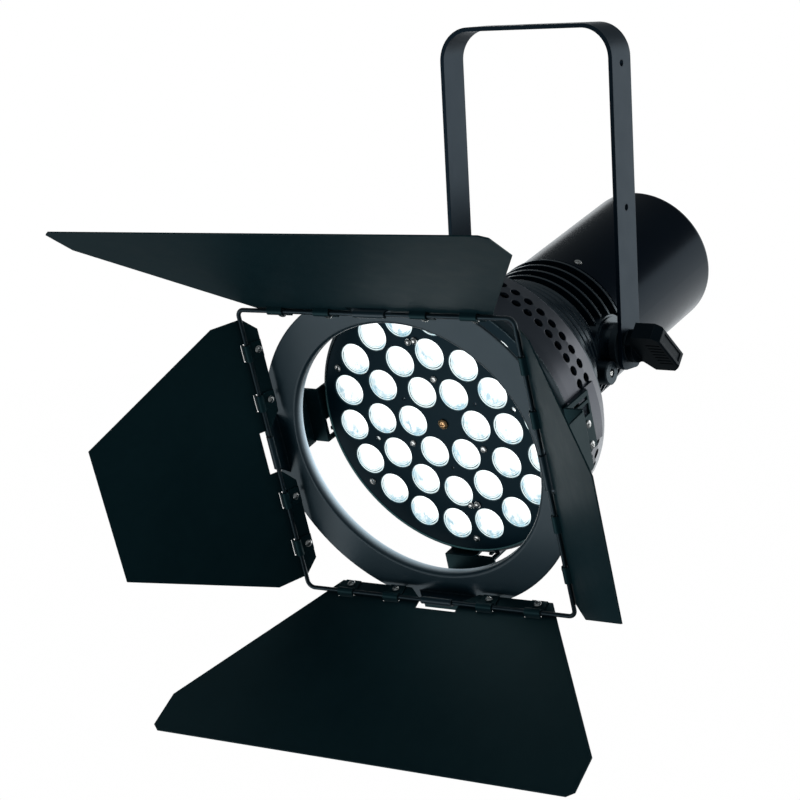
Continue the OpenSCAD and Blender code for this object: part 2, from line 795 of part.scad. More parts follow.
module clip_screws(k, open) {
    color("#b3b6ba") on_leaf(k, open) for (s = clip_spots)
        translate([s, -clip_screw_v, leaf_n - clip_t]) {
            rotate([180, 0, 0]) pan_screw(2.7, 2.2, screw_r, 4);
            translate([0, 0, clip_t + leaf_t]) cylinder(r = 2.8, h = 1.6, $fn = 6);
        }
}

module leaf_top() { leaf(0, open_top, wide_leaf); }
module clips_top() { clips(0, open_top); }
module clip_screws_top() { clip_screws(0, open_top); }
module leaf_right() { leaf(1, open_right, narrow_leaf); }
module clips_right() { clips(1, open_right); }
module clip_screws_right() { clip_screws(1, open_right); }
module leaf_bottom() { leaf(2, open_bottom, wide_leaf); }
module clips_bottom() { clips(2, open_bottom); }
module clip_screws_bottom() { clip_screws(2, open_bottom); }
module leaf_left() { leaf(3, open_left, narrow_leaf); }
module clips_left() { clips(3, open_left); }
module clip_screws_left() { clip_screws(3, open_left); }

yoke();
yoke_washers();
knob_right();
stud_right();
knob_left();
stud_left();
finned_neck();
drum_back();
friction_discs();
friction_washers();
side_bumpers();
bumper_screws();
lamp_drum();
front_bezel();
lamp_plate();
plate_screws();
centre_screw();
plate_studs();
led_lenses();
led_emitters();
led_board();
rear_can();
can_screws();
rear_panel();
rear_screws();
display();
power_inlet();
data_sockets();
button_menu();
button_down();
button_up();
button_enter();
fan_frame();
fan_rotor();
inner_tray();
power_supply();
driver_board();
board_posts();
holder_top();
holder_right();
holder_bottom();
holder_left();
holder_screws();
ring_latch();
latch_pin();
ring_plate();
wire_frame();
leaf_top();
clips_top();
clip_screws_top();
leaf_right();
clips_right();
clip_screws_right();
leaf_bottom();
clips_bottom();
clip_screws_bottom();
leaf_left();
clips_left();
clip_screws_left();
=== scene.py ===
import json
import math

import bmesh
import bpy
import numpy as np
from mathutils import Matrix, Vector


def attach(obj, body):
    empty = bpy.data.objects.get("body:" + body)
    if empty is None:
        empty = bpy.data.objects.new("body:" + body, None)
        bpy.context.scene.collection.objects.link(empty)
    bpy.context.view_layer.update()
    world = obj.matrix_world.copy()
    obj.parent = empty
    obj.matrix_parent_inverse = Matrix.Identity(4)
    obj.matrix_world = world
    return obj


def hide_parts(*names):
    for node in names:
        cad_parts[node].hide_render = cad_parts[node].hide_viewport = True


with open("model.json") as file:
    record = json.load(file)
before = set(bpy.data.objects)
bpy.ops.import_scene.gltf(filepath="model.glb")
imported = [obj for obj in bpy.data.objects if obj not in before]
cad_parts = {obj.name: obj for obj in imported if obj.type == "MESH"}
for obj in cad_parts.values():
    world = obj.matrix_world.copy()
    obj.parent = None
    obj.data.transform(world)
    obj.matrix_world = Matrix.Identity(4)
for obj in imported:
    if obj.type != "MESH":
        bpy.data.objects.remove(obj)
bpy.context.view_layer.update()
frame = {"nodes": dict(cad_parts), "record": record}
NODES = frame["nodes"]

RECORD = frame["record"]
SLOT = {s["node"]: s["material_slot"] for s in RECORD["subparts"]}
BODY = {node: body for body, nodes in RECORD["behaviour"]["bodies"].items() for node in nodes}

MM = 0.001
TILT = math.radians(15.1)
PIVOT_Z = -0.222
HEAD = Matrix.Translation((0, 0, PIVOT_Z)) @ Matrix.Rotation(TILT, 4, "X")


# ---- materials -------------------------------------------------------------

def nodes_of(mat):
    tree = mat.node_tree
    return tree.nodes, tree.links


def new_mat(name):
    mat = bpy.data.materials.new(name)
    mat.use_nodes = True
    return mat


def noise_tex(n, l, coord, scale, detail=3.0, rough=0.55, stretch=None):
    """Noise from 0 to 1 with scale blobs to the metre; stretch scales the axes."""
    tex = n.new("ShaderNodeTexNoise")
    tex.inputs["Scale"].default_value = scale
    tex.inputs["Detail"].default_value = detail
    tex.inputs["Roughness"].default_value = rough
    if stretch:
        mp = n.new("ShaderNodeMapping")
        mp.inputs["Scale"].default_value = stretch
        l.new(coord, mp.inputs["Vector"])
        l.new(mp.outputs["Vector"], tex.inputs["Vector"])
    else:
        l.new(coord, tex.inputs["Vector"])
    return tex.outputs["Fac"]


def ramp(n, l, fac, a, b):
    """0 up to a, 1 from b on."""
    r = n.new("ShaderNodeValToRGB")
    r.color_ramp.elements[0].position = a
    r.color_ramp.elements[1].position = b
    l.new(fac, r.inputs["Fac"])
    return r.outputs["Color"]


def remap(n, l, value, lo, hi):
    m = n.new("ShaderNodeMapRange")
    m.inputs["To Min"].default_value = lo
    m.inputs["To Max"].default_value = hi
    l.new(value, m.inputs["Value"])
    return m.outputs["Result"]


def mixed(n, l, fac, a, b):
    """Colour a where fac is 0 and b where it is 1; each is a colour or a socket."""
    m = n.new("ShaderNodeMix")
    m.data_type = "RGBA"
    l.new(fac, m.inputs["Factor"])
    for key, v in (("A", a), ("B", b)):
        sock = [s for s in m.inputs if s.name == key and s.type == "RGBA"][0]
        if isinstance(v, tuple):
            sock.default_value = v if len(v) == 4 else (*v, 1)
        else:
            l.new(v, sock)
    return [s for s in m.outputs if s.type == "RGBA"][0]


def rounded(n, radius):
    """A normal that rolls over sharp edges, as paint and moulding do."""
    bev = n.new("ShaderNodeBevel")
    bev.samples = 4
    bev.inputs["Radius"].default_value = radius
    return bev.outputs["Normal"]


def edge_mask(n, l, radius, lo, hi):
    """1 along edges, 0 on flats, from how far a rounded normal leans; it places worn paint and painted edge
    highlights.
    """
    geo = n.new("ShaderNodeNewGeometry")
    dot = n.new("ShaderNodeVectorMath")
    dot.operation = "DOT_PRODUCT"
    l.new(rounded(n, radius), dot.inputs[0])
    l.new(geo.outputs["Normal"], dot.inputs[1])
    m = n.new("ShaderNodeMapRange")
    m.inputs["From Min"].default_value = 1.0 - lo
    m.inputs["From Max"].default_value = 1.0 - hi
    l.new(dot.outputs["Value"], m.inputs["Value"])
    return m.outputs["Result"]


def times(n, l, a, b):
    """a times b, which is a number or a socket."""
    m = n.new("ShaderNodeMath")
    m.operation = "MULTIPLY"
    l.new(a, m.inputs[0])
    if isinstance(b, float):
        m.inputs[1].default_value = b
    else:
        l.new(b, m.inputs[1])
    return m.outputs["Value"]


def bumped(n, l, height, strength, distance, normal=None):
    """The normal, or another one, tipped by a height that reaches distance metres."""
    b = n.new("ShaderNodeBump")
    b.inputs["Strength"].default_value = strength
    b.inputs["Distance"].default_value = distance
    l.new(height, b.inputs["Height"])
    if normal:
        l.new(normal, b.inputs["Normal"])
    return b.outputs["Normal"]


def coat(name, base, light, rough=(0.34, 0.46), grain=1500.0, grain_mm=0.02, strength=0.25,
         edge_wear_and_highlight=(0.16, 0.165, 0.17), edge_wear_and_highlight_amount=0.45, metallic=0.0, edge=0.0006, spec=0.5,
         orange=320.0, orange_strength=0.10, coat_w=0.0, tint=(0.55, 0.84, 1.0, 1)):
    """Painted or powder-coated metal: mottled colour, orange peel, fine grain and lighter edges: worn paint,
    and on the cast neck also a painted highlight along the fins.
    """
    mat = new_mat(name)
    n, l = nodes_of(mat)
    bsdf = n["Principled BSDF"]
    coord = n.new("ShaderNodeTexCoord").outputs["Object"]
    big = noise_tex(n, l, coord, 9.0, 4.0)
    mid = noise_tex(n, l, coord, 70.0, 4.0, 0.6)
    fine = noise_tex(n, l, coord, grain, 2.0)
    peel = noise_tex(n, l, coord, orange, 1.0)
    tone = mixed(n, l, ramp(n, l, big, 0.35, 0.68), base, light)
    tone = mixed(n, l, times(n, l, ramp(n, l, mid, 0.45, 0.62), 0.35), tone, light)
    spots = ramp(n, l, noise_tex(n, l, coord, 420.0, 3.0, 0.7), 0.40, 0.62)
    # Edges go lighter: worn paint, and on the cast neck also a painted highlight.
    worn_and_highlit = times(n, l, edge_mask(n, l, edge, 0.04, 0.30), spots)
    colour = mixed(n, l, times(n, l, worn_and_highlit, edge_wear_and_highlight_amount), tone, edge_wear_and_highlight)
    l.new(colour, bsdf.inputs["Base Color"])
    r = remap(n, l, mid, rough[0], rough[1])
    l.new(r, bsdf.inputs["Roughness"])
    bsdf.inputs["Specular Tint"].default_value = tint
    bsdf.inputs["Metallic"].default_value = metallic
    bsdf.inputs["Specular IOR Level"].default_value = spec
    bsdf.inputs["Coat Weight"].default_value = coat_w
    bsdf.inputs["Coat Roughness"].default_value = 0.22
    first = bumped(n, l, peel, orange_strength, 0.0002, rounded(n, edge))
    l.new(bumped(n, l, fine, strength, grain_mm * MM, first), bsdf.inputs["Normal"])
    return mat


def metal(name, base, dark, rough=(0.18, 0.34), brush=None):
    """Plated or bare metal with stains, small pits and a brushed or turned grain."""
    mat = new_mat(name)
    n, l = nodes_of(mat)
    bsdf = n["Principled BSDF"]
    coord = n.new("ShaderNodeTexCoord").outputs["Object"]
    stain = noise_tex(n, l, coord, 260.0, 4.0, 0.65)
    fine = noise_tex(n, l, coord, 1800.0, 2.0, 0.5, brush)
    colour = mixed(n, l, ramp(n, l, stain, 0.42, 0.70), base, dark)
    l.new(colour, bsdf.inputs["Base Color"])
    l.new(remap(n, l, fine, rough[0], rough[1]), bsdf.inputs["Roughness"])
    bsdf.inputs["Metallic"].default_value = 1.0
    l.new(bumped(n, l, fine, 0.25, 0.00002), bsdf.inputs["Normal"])
    return mat


def moulded(name, base, light, rough=(0.42, 0.56), grain=900.0, depth=0.04, spec=0.45, edge_highlight=None):
    """Moulded plastic, rubber or fibre: spark-eroded grain, faint flow marks, softer edges, and a painted
    highlight along the edges when an edge colour is given.
    """
    mat = new_mat(name)
    n, l = nodes_of(mat)
    bsdf = n["Principled BSDF"]
    coord = n.new("ShaderNodeTexCoord").outputs["Object"]
    flow = noise_tex(n, l, coord, 45.0, 4.0, 0.6)
    cell = n.new("ShaderNodeTexVoronoi")
    cell.inputs["Scale"].default_value = grain
    l.new(coord, cell.inputs["Vector"])
    colour = mixed(n, l, ramp(n, l, flow, 0.38, 0.66), base, light)
    # Painted highlight: the edges are lightened toward the given colour.
    if edge_highlight:
        colour = mixed(n, l, times(n, l, edge_mask(n, l, 0.0007, 0.03, 0.3), 0.6), colour, edge_highlight)
    l.new(colour, bsdf.inputs["Base Color"])
    l.new(remap(n, l, flow, rough[0], rough[1]), bsdf.inputs["Roughness"])
    bsdf.inputs["Specular IOR Level"].default_value = spec
    bsdf.inputs["Specular Tint"].default_value = (0.6, 0.86, 1.0, 1)
    soft = rounded(n, 0.0006)
    l.new(bumped(n, l, cell.outputs["Distance"], 0.3, depth * MM, soft), bsdf.inputs["Normal"])
    return mat


M = {
    "yoke_black": coat("yoke_black", (0.0022, 0.010, 0.020), (0.005, 0.015, 0.026), (0.36, 0.48), spec=0.52,
                       edge_wear_and_highlight=(0.10, 0.10, 0.105), tint=(0.43, 0.74, 1.0, 1)),
    # The lighter lilac edges of the cast parts are worn paint and also a painted highlight along the fin
    # edges.
    "cast_black": coat("cast_black", (0.0012, 0.008, 0.016), (0.003, 0.012, 0.022), (0.22, 0.32),
                       grain=1100, orange=240, orange_strength=0.12, edge_wear_and_highlight=(0.26, 0.28, 0.31),
                       edge_wear_and_highlight_amount=0.4, spec=0.8, coat_w=0.7, edge=0.0004),
    "housing_black": coat("housing_black", (0.0020, 0.010, 0.018), (0.005, 0.015, 0.025), (0.26, 0.36),
                          spec=1.0, orange=380, orange_strength=0.08, edge_wear_and_highlight=(0.20, 0.21, 0.22),
                          edge_wear_and_highlight_amount=0.4, coat_w=0.45, tint=(0.80, 0.83, 1.0, 1)),
    "bezel_black": coat("bezel_black", (0.0015, 0.012, 0.018), (0.004, 0.018, 0.025), (0.22, 0.32),
                        spec=0.7, orange=380, orange_strength=0.05, edge_wear_and_highlight=(0.26, 0.36, 0.38),
                        edge_wear_and_highlight_amount=1.0, coat_w=0.8, edge=0.0012),
    "can_black": coat("can_black", (0.0003, 0.0030, 0.009), (0.0009, 0.005, 0.013), (0.20, 0.27), spec=0.17,
                      orange=500, orange_strength=0.04, edge_wear_and_highlight=(0.12, 0.12, 0.13), edge_wear_and_highlight_amount=0.3,
                      tint=(0.30, 0.68, 1.0, 1)),
    "plate_black": coat("plate_black", (0.0014, 0.019, 0.032), (0.0028, 0.026, 0.041), (0.40, 0.52),
                        spec=0.18, edge_wear_and_highlight=(0.15, 0.16, 0.18), edge_wear_and_highlight_amount=0.25),
    "sheet_black": coat("sheet_black", (0.0040, 0.0215, 0.0290), (0.0075, 0.0295, 0.0380), (0.40, 0.52),
                        spec=0.34, orange=650, orange_strength=0.08, edge_wear_and_highlight=(0.20, 0.21, 0.21),
                        edge_wear_and_highlight_amount=0.6, tint=(0.38, 0.92, 1.0, 1)),
    "wire_black": coat("wire_black", (0.003, 0.010, 0.015), (0.014, 0.021, 0.026), (0.24, 0.42), orange=900,
                       orange_strength=0.25, edge_wear_and_highlight=(0.30, 0.31, 0.32), edge_wear_and_highlight_amount=0.5),
    "ring_black": coat("ring_black", (0.0020, 0.0170, 0.0280), (0.0040, 0.0230, 0.0350), (0.34, 0.46),
                       spec=0.45, orange=650, orange_strength=0.08, edge_wear_and_highlight=(0.20, 0.22, 0.24),
                       edge_wear_and_highlight_amount=0.5, edge=0.0015, coat_w=0.35),
    "knob_plastic": moulded("knob_plastic", (0.002, 0.007, 0.012), (0.005, 0.011, 0.017), (0.36, 0.48),
                            spec=0.16, edge_highlight=(0.10, 0.115, 0.13)),
    "fibre_black": moulded("fibre_black", (0.012, 0.018, 0.024), (0.030, 0.036, 0.042), (0.42, 0.58),
                           1500.0, spec=0.8, edge_highlight=(0.14, 0.16, 0.18)),
    "rubber_black": moulded("rubber_black", (0.007, 0.014, 0.021), (0.016, 0.024, 0.032), (0.30, 0.44),
                            1200.0, spec=0.9, edge_highlight=(0.16, 0.18, 0.20)),
    "nickel": metal("nickel", (0.90, 0.90, 0.88), (0.56, 0.55, 0.53), (0.12, 0.26)),
    "stud_steel": metal("stud_steel", (0.52, 0.52, 0.52), (0.26, 0.26, 0.25), (0.25, 0.42), (1, 8, 8)),
    "brass": metal("brass", (0.92, 0.56, 0.28), (0.46, 0.26, 0.12), (0.16, 0.30)),
    "board_white": moulded("board_white", (0.62, 0.63, 0.64), (0.74, 0.75, 0.76), (0.3, 0.45), 1500.0,
                           0.01),
    "tray_bare": metal("tray_bare", (0.60, 0.61, 0.62), (0.42, 0.43, 0.44), (0.3, 0.48), (1, 12, 1)),
    "pcb_green": moulded("pcb_green", (0.010, 0.06, 0.028), (0.018, 0.10, 0.045), (0.25, 0.4), 700.0, 0.02),
    "button_grey": moulded("button_grey", (0.09, 0.092, 0.098), (0.13, 0.133, 0.14), (0.5, 0.65)),
    "socket_blue": moulded("socket_blue", (0.012, 0.06, 0.24), (0.02, 0.09, 0.32), (0.32, 0.45)),
    "socket_metal": metal("socket_metal", (0.10, 0.10, 0.105), (0.05, 0.05, 0.052), (0.25, 0.4)),
    "fan_black": moulded("fan_black", (0.012, 0.012, 0.013), (0.02, 0.02, 0.022), (0.38, 0.5)),
    "display_glass": coat("display_glass", (0.004, 0.010, 0.020), (0.006, 0.016, 0.030), (0.06, 0.12),
                          grain=2400, grain_mm=0.002, orange_strength=0.01, edge_wear_and_highlight_amount=0.1, coat_w=1.0),
}


def emitter_mat():
    """Lit yellow phosphor with a fine grain."""
    mat = new_mat("emitter")
    n, l = nodes_of(mat)
    bsdf = n["Principled BSDF"]
    coord = n.new("ShaderNodeTexCoord").outputs["Object"]
    dots = noise_tex(n, l, coord, 900.0, 2.0)
    colour = mixed(n, l, dots, (1.0, 0.80, 0.30), (1.0, 0.93, 0.62))
    l.new(colour, bsdf.inputs["Base Color"])
    l.new(colour, bsdf.inputs["Emission Color"])
    bsdf.inputs["Emission Strength"].default_value = 1.5
    bsdf.inputs["Roughness"].default_value = 0.4
    return mat


def lens_mat():
    """Lit optic: lens_r runs from 0 at its axis to 1 at its rim; the second attribute is 1 on its lower
    left, which gets painted shade: darker rings and blue-grey streaks.
    """
    mat = new_mat("lens_clear")
    n, l = nodes_of(mat)
    bsdf = n["Principled BSDF"]
    att = n.new("ShaderNodeAttribute")
    att.attribute_name = "lens_r"
    coord = n.new("ShaderNodeTexCoord").outputs["Object"]
    ripple = noise_tex(n, l, coord, 420.0, 2.0, 0.5)
    wob = n.new("ShaderNodeMath")
    wob.operation = "ADD"
    l.new(att.outputs["Fac"], wob.inputs[0])
    l.new(remap(n, l, ripple, -0.012, 0.012), wob.inputs[1])

    def rings(stops):
        """Brightness against lens_r; a dim ring is bluer than a bright one."""
        r = n.new("ShaderNodeValToRGB")
        cr = r.color_ramp
        cr.elements[0].color = (1.0, 1.0, 1.0, 1)
        cr.elements[1].position = 1.0
        cr.elements[1].color = (0.03, 0.07, 0.09, 1)
        for p, v in stops:
            e = cr.elements.new(p)
            e.color = (v ** 1.6, v ** 1.05, v, 1)
        l.new(wob.outputs["Value"], r.inputs["Fac"])
        return r.outputs["Color"]

    # Painted shade: the first ring pattern has dark grooves for the lens's shaded lower left, the second is
    # the same rings lit.
    rings_shaded = rings(((0.60, 1.0), (0.63, 0.40), (0.66, 0.95), (0.72, 0.88), (0.745, 0.22), (0.775, 0.86),
                     (0.83, 0.72), (0.86, 0.05), (0.925, 0.03), (0.945, 0.80), (0.98, 0.62)))
    rings_lit = rings(((0.80, 1.0), (0.86, 0.86), (0.90, 0.80), (0.945, 0.95), (0.98, 0.75)))
    # 1 on the lower left of each lens, where the painted shade and the blue-grey streaks go.
    low = n.new("ShaderNodeAttribute")
    low.attribute_name = "lens_shade_side"
    side = ramp(n, l, low.outputs["Fac"], 0.34, 0.66)
    streaks = noise_tex(n, l, coord, 230.0, 4.0, 0.72, (1.0, 1.0, 0.45))
    patch = noise_tex(n, l, coord, 40.0, 1.0)
    mask = times(n, l, ramp(n, l, streaks, 0.44, 0.60), ramp(n, l, patch, 0.38, 0.52))
    mask = times(n, l, mask, ramp(n, l, low.outputs["Fac"], 0.30, 0.70))
    look = mixed(n, l, side, rings_lit, rings_shaded)
    look = mixed(n, l, times(n, l, mask, 0.95), look, (0.28, 0.44, 0.51))
    l.new(look, bsdf.inputs["Emission Color"])
    l.new(look, bsdf.inputs["Base Color"])
    bsdf.inputs["Emission Strength"].default_value = 1.25
    l.new(remap(n, l, streaks, 0.05, 0.16), bsdf.inputs["Roughness"])
    bsdf.inputs["Coat Weight"].default_value = 0.6
    facet = noise_tex(n, l, coord, 700.0, 1.0)
    l.new(bumped(n, l, facet, 0.15, 0.00005), bsdf.inputs["Normal"])
    return mat


M["emitter"] = emitter_mat()
M["lens_clear"] = lens_mat()

for name, ob in NODES.items():
    mat = M[SLOT[name]]
    if not ob.material_slots:
        ob.data.materials.append(mat)
    for sl in ob.material_slots:
        sl.material = mat


def normal_spread(faces):
    """How the face normals of a solid spread: a turned solid has its axis among the main directions."""
    spread = np.zeros((3, 3))
    for f in faces:
        spread += f.area * np.outer(f.normal, f.normal)
    return spread


def box_middle(points):
    return Vector([(min(p[i] for p in points) + max(p[i] for p in points)) / 2 for i in range(3)])


def lit_rim(node, mat, radii, depth, lower_left, colour, albedo, glow):
    """Light from the lenses caught by the inner rim of a turned sheet, strongest where lower_left points."""
    ob = NODES[node]
    axis = Vector(np.linalg.eigh(normal_spread(ob.data.polygons))[1][:, 2])
    if axis.y > 0:
        axis = -axis
    up = (Vector((0, 0, 1)) - axis * axis.z).normalized()
    side = up.cross(axis).normalized()
    if side.x < 0:
        side = -side
    far = [v.co for v in ob.data.vertices]
    mid = box_middle(far)
    n, l = nodes_of(mat)
    bsdf = n["Principled BSDF"]
    coord = n.new("ShaderNodeTexCoord").outputs["Object"]
    away = n.new("ShaderNodeVectorMath")
    away.operation = "SUBTRACT"
    l.new(coord, away.inputs[0])
    away.inputs[1].default_value = mid

    def along(direction):
        d = n.new("ShaderNodeVectorMath")
        d.operation = "DOT_PRODUCT"
        l.new(away.outputs["Vector"], d.inputs[0])
        d.inputs[1].default_value = direction
        return d.outputs["Value"]

    flat = n.new("ShaderNodeCombineXYZ")
    l.new(along(side), flat.inputs["X"])
    l.new(along(up), flat.inputs["Y"])
    size = n.new("ShaderNodeVectorMath")
    size.operation = "LENGTH"
    l.new(flat.outputs["Vector"], size.inputs[0])
    band = n.new("ShaderNodeMapRange")
    band.interpolation_type = "SMOOTHSTEP"
    band.inputs["From Min"].default_value = radii[1] * MM
    band.inputs["From Max"].default_value = radii[0] * MM
    l.new(size.outputs["Value"], band.inputs["Value"])
    turn = math.radians(lower_left)
    toward = n.new("ShaderNodeMapRange")
    toward.interpolation_type = "SMOOTHSTEP"
    toward.inputs["From Min"].default_value = 0.01
    toward.inputs["From Max"].default_value = 0.088
    l.new(along(side * math.cos(turn) + up * math.sin(turn)), toward.inputs["Value"])
    rear = min((v - mid).dot(axis) for v in far)
    deep = n.new("ShaderNodeMapRange")
    deep.inputs["From Min"].default_value = rear + depth * MM
    deep.inputs["From Max"].default_value = rear
    l.new(along(axis), deep.inputs["Value"])
    near = times(n, l, band.outputs["Result"], times(n, l, deep.outputs["Result"], deep.outputs["Result"]))
    mask = times(n, l, near, toward.outputs["Result"])
    base = bsdf.inputs["Base Color"].links[0].from_socket
    l.new(mixed(n, l, times(n, l, mask, albedo), base, colour), bsdf.inputs["Base Color"])
    bsdf.inputs["Emission Color"].default_value = (*colour, 1)
    l.new(times(n, l, mask, glow), bsdf.inputs["Emission Strength"])
    ob.material_slots[0].material = mat


lit_rim("ring_plate", M["ring_black"], (91.8, 95.6), 7.5, 218, (0.70, 0.88, 1.0), 0.4, 0.95)
lit_rim("front_bezel", M["bezel_black"], (94.7, 96.6), 20, 240, (0.30, 0.80, 0.85), 0.12, 0.16)


# ---- pieces made here --------------------------------------------------------

def add_piece(name, bm, mat, body, slot, *stands_for):
    """A smooth-shaded piece on a body, in place of the CAD nodes that it stands for."""
    mesh = bpy.data.meshes.new(name)
    bm.to_mesh(mesh)
    bm.free()
    for p in mesh.polygons:
        p.use_smooth = True
    ob = bpy.data.objects.new(name, mesh)
    bpy.context.scene.collection.objects.link(ob)
    mesh.materials.append(mat)
    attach(ob, body)
    if stands_for:
        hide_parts(*stands_for)
    return ob


def lathe(bm, profile, place, segments, layer=None, values=None):
    """Turns [radius, height] points about +Z of the frame place."""
    rows = []
    for i, (r, h) in enumerate(profile):
        ring = []
        if r < 1e-9:
            v = bm.verts.new(place @ Vector((0, 0, h)))
            ring = [v]
        else:
            for k in range(segments):
                a = 2 * math.pi * k / segments
                ring.append(bm.verts.new(place @ Vector((r * math.cos(a), r * math.sin(a), h))))
        if layer is not None:
            for v in ring:
                v[layer] = values[i]
        rows.append(ring)
    for a, b in zip(rows, rows[1:]):
        for k in range(segments):
            j = (k + 1) % segments
            quad = [a[k % len(a)], a[j % len(a)], b[j % len(b)], b[k % len(b)]]
            quad = list(dict.fromkeys(quad))
            if len(quad) > 2:
                bm.faces.new(quad)


def lens_bodies():
    """All 36 optics: each is a shallow dome, a groove and a rim step with a cone behind, in millimetres."""
    bm = bmesh.new()
    layer = bm.verts.layers.float.new("lens_r")
    low = bm.verts.layers.float.new("lens_shade_side")
    # The lower left, where each lens gets painted shade in its material.
    shade = math.radians(235)
    rim_r, dome_r, dome_h, dome_steps = 11.35, 9.9, 0.85, 8
    face, rear, rear_r = 134.8, 120.6, 7.0
    prof, vals = [], []
    for i in range(dome_steps + 1):
        t = i / dome_steps
        prof.append((t * dome_r, face + dome_h * (1 - t * t)))
        vals.append(t * 0.84)
    prof += [(10.0, face - 0.9), (10.55, face - 0.9), (10.65, face + 0.25), (11.0, face + 0.35),
             (rim_r, face + 0.1), (rim_r, face - 2.5), (rear_r, rear), (0.0, rear)]
    vals += [0.89, 0.92, 0.945, 0.97, 0.98, 1.0, 0.5, 0.2]
    for count, ring, turn in ((6, 25.4, 0), (12, 50.8, 0), (18, 76.2, 5)):
        for i in range(count):
            a = math.radians(turn + 360 / count * i)
            spot = Matrix.Translation((ring * math.cos(a), 0, ring * math.sin(a)))
            place = HEAD @ Matrix.Scale(MM, 4) @ spot @ Matrix.Rotation(math.radians(90), 4, "X")
            before = len(bm.verts)
            lathe(bm, prof, place, 40, layer, vals)
            bm.verts.ensure_lookup_table()
            back = place.inverted()
            for v in bm.verts[before:]:
                at = back @ v.co
                toward_shade = math.cos(math.atan2(at.y, at.x) - shade)
                v[low] = 0.5 + 0.5 * toward_shade * min(1.0, at.xy.length / rear_r)
    bmesh.ops.recalc_face_normals(bm, faces=bm.faces)
    return bm


add_piece("lens_optics", lens_bodies(), M["lens_clear"], "head", "lens_clear", "led_lenses")


def islands(ob):
    """The separate solids of a CAD node, each as its points and its faces."""
    mesh = ob.data
    key = [tuple(round(c, 6) for c in v.co) for v in mesh.vertices]
    up = {k: k for k in key}

    def root(k):
        while up[k] != k:
            up[k] = up[up[k]]
            k = up[k]
        return k

    for face in mesh.polygons:
        first = root(key[face.vertices[0]])
        for i in face.vertices[1:]:
            up[root(key[i])] = first
    parts = {}
    for face in mesh.polygons:
        parts.setdefault(root(key[face.vertices[0]]), []).append(face)
    return [([mesh.vertices[i].co for i in {i for f in faces for i in f.vertices}], faces)
            for faces in parts.values()]


def turned_axis(faces):
    """The axis of a turned solid: the one direction that its face normals treat differently."""
    value, vector = np.linalg.eigh(normal_spread(faces))
    pick = 0 if value[1] - value[0] > value[2] - value[1] else 2
    return Vector(vector[:, pick])


def fastener(points, faces):
    """Place and sizes of one screw: z out of its head, and the origin under the head."""
    axis = turned_axis(faces)
    mid = sum(points, Vector()) / len(points)
    height = [(p - mid).dot(axis) for p in points]
    lo, hi = min(height), max(height)
    third = (hi - lo) * 0.38
    top = [p for p, h in zip(points, height) if h > hi - third]
    low = [p for p, h in zip(points, height) if h < lo + third]
    if len(low) > len(top):
        axis, lo, hi, top, low = -axis, -hi, -lo, low, top
    at = box_middle(top)
    at -= axis * ((at - mid).dot(axis) - hi)
    reach = [((p - at) - axis * (p - at).dot(axis)).length for p in points]
    depth = [hi - (p - mid).dot(axis) for p in points]
    head_r = max(r for r, d in zip(reach, depth) if d < third)
    head_h = max(d for r, d in zip(reach, depth) if r > head_r * 0.96 and d < (hi - lo) / 2)
    end = [r for r, d in zip(reach, depth) if d > (hi - lo) * 0.98]
    return at - axis * head_h, axis, head_r, head_h, max(end), hi - lo - head_h


def solved(bm, name):
    """The mesh as an object of its own, for a boolean."""
    mesh = bpy.data.meshes.new(name)
    bm.to_mesh(mesh)
    bm.free()
    ob = bpy.data.objects.new(name, mesh)
    bpy.context.scene.collection.objects.link(ob)
    return ob


def phillips_head(head_r, head_h):
    """A domed pan head with a tapered cross cut into it, standing on z = 0."""
    body = bmesh.new()
    rim, steps = 0.42, 9
    arm_length, arm_width, floor_taper = 0.62, 0.13, 0.45
    profile = [(head_r * math.sin(math.pi / 2 * i / steps),
                head_h * (rim + (1 - rim) * math.cos(math.pi / 2 * i / steps) ** 1.2)) for i in range(steps)]
    profile += [(head_r, head_h * rim), (head_r, 0.00001), (0.0, 0.00001)]
    lathe(body, profile, Matrix(), 32)
    bmesh.ops.recalc_face_normals(body, faces=body.faces)
    tool = bmesh.new()
    for turn in (0, 90):
        made = bmesh.ops.create_cube(tool, size=2.0)["verts"]
        for v in made:
            reach = head_r * (1.0 if v.co.z > 0 else floor_taper)
            v.co = Vector((v.co.x * reach * arm_length, v.co.y * reach * arm_width,
                           head_h * (0.95 + v.co.z * 0.75)))
        bmesh.ops.rotate(tool, verts=made, matrix=Matrix.Rotation(math.radians(turn), 3, "Z"))
    a, b = solved(body, "cut_body"), solved(tool, "cut_tool")
    cut = a.modifiers.new("cross", "BOOLEAN")
    cut.operation = "DIFFERENCE"
    cut.solver = "EXACT"
    cut.use_self = True
    cut.object = b
    graph = bpy.context.evaluated_depsgraph_get()
    mesh = bpy.data.meshes.new_from_object(a.evaluated_get(graph))
    for ob in (a, b):
        old = ob.data
        bpy.data.objects.remove(ob)
        bpy.data.meshes.remove(old)
    return mesh


CLIP_SHANK_R, NUT_H, NUT_EDGE = 0.0015, 0.0016, 0.0002


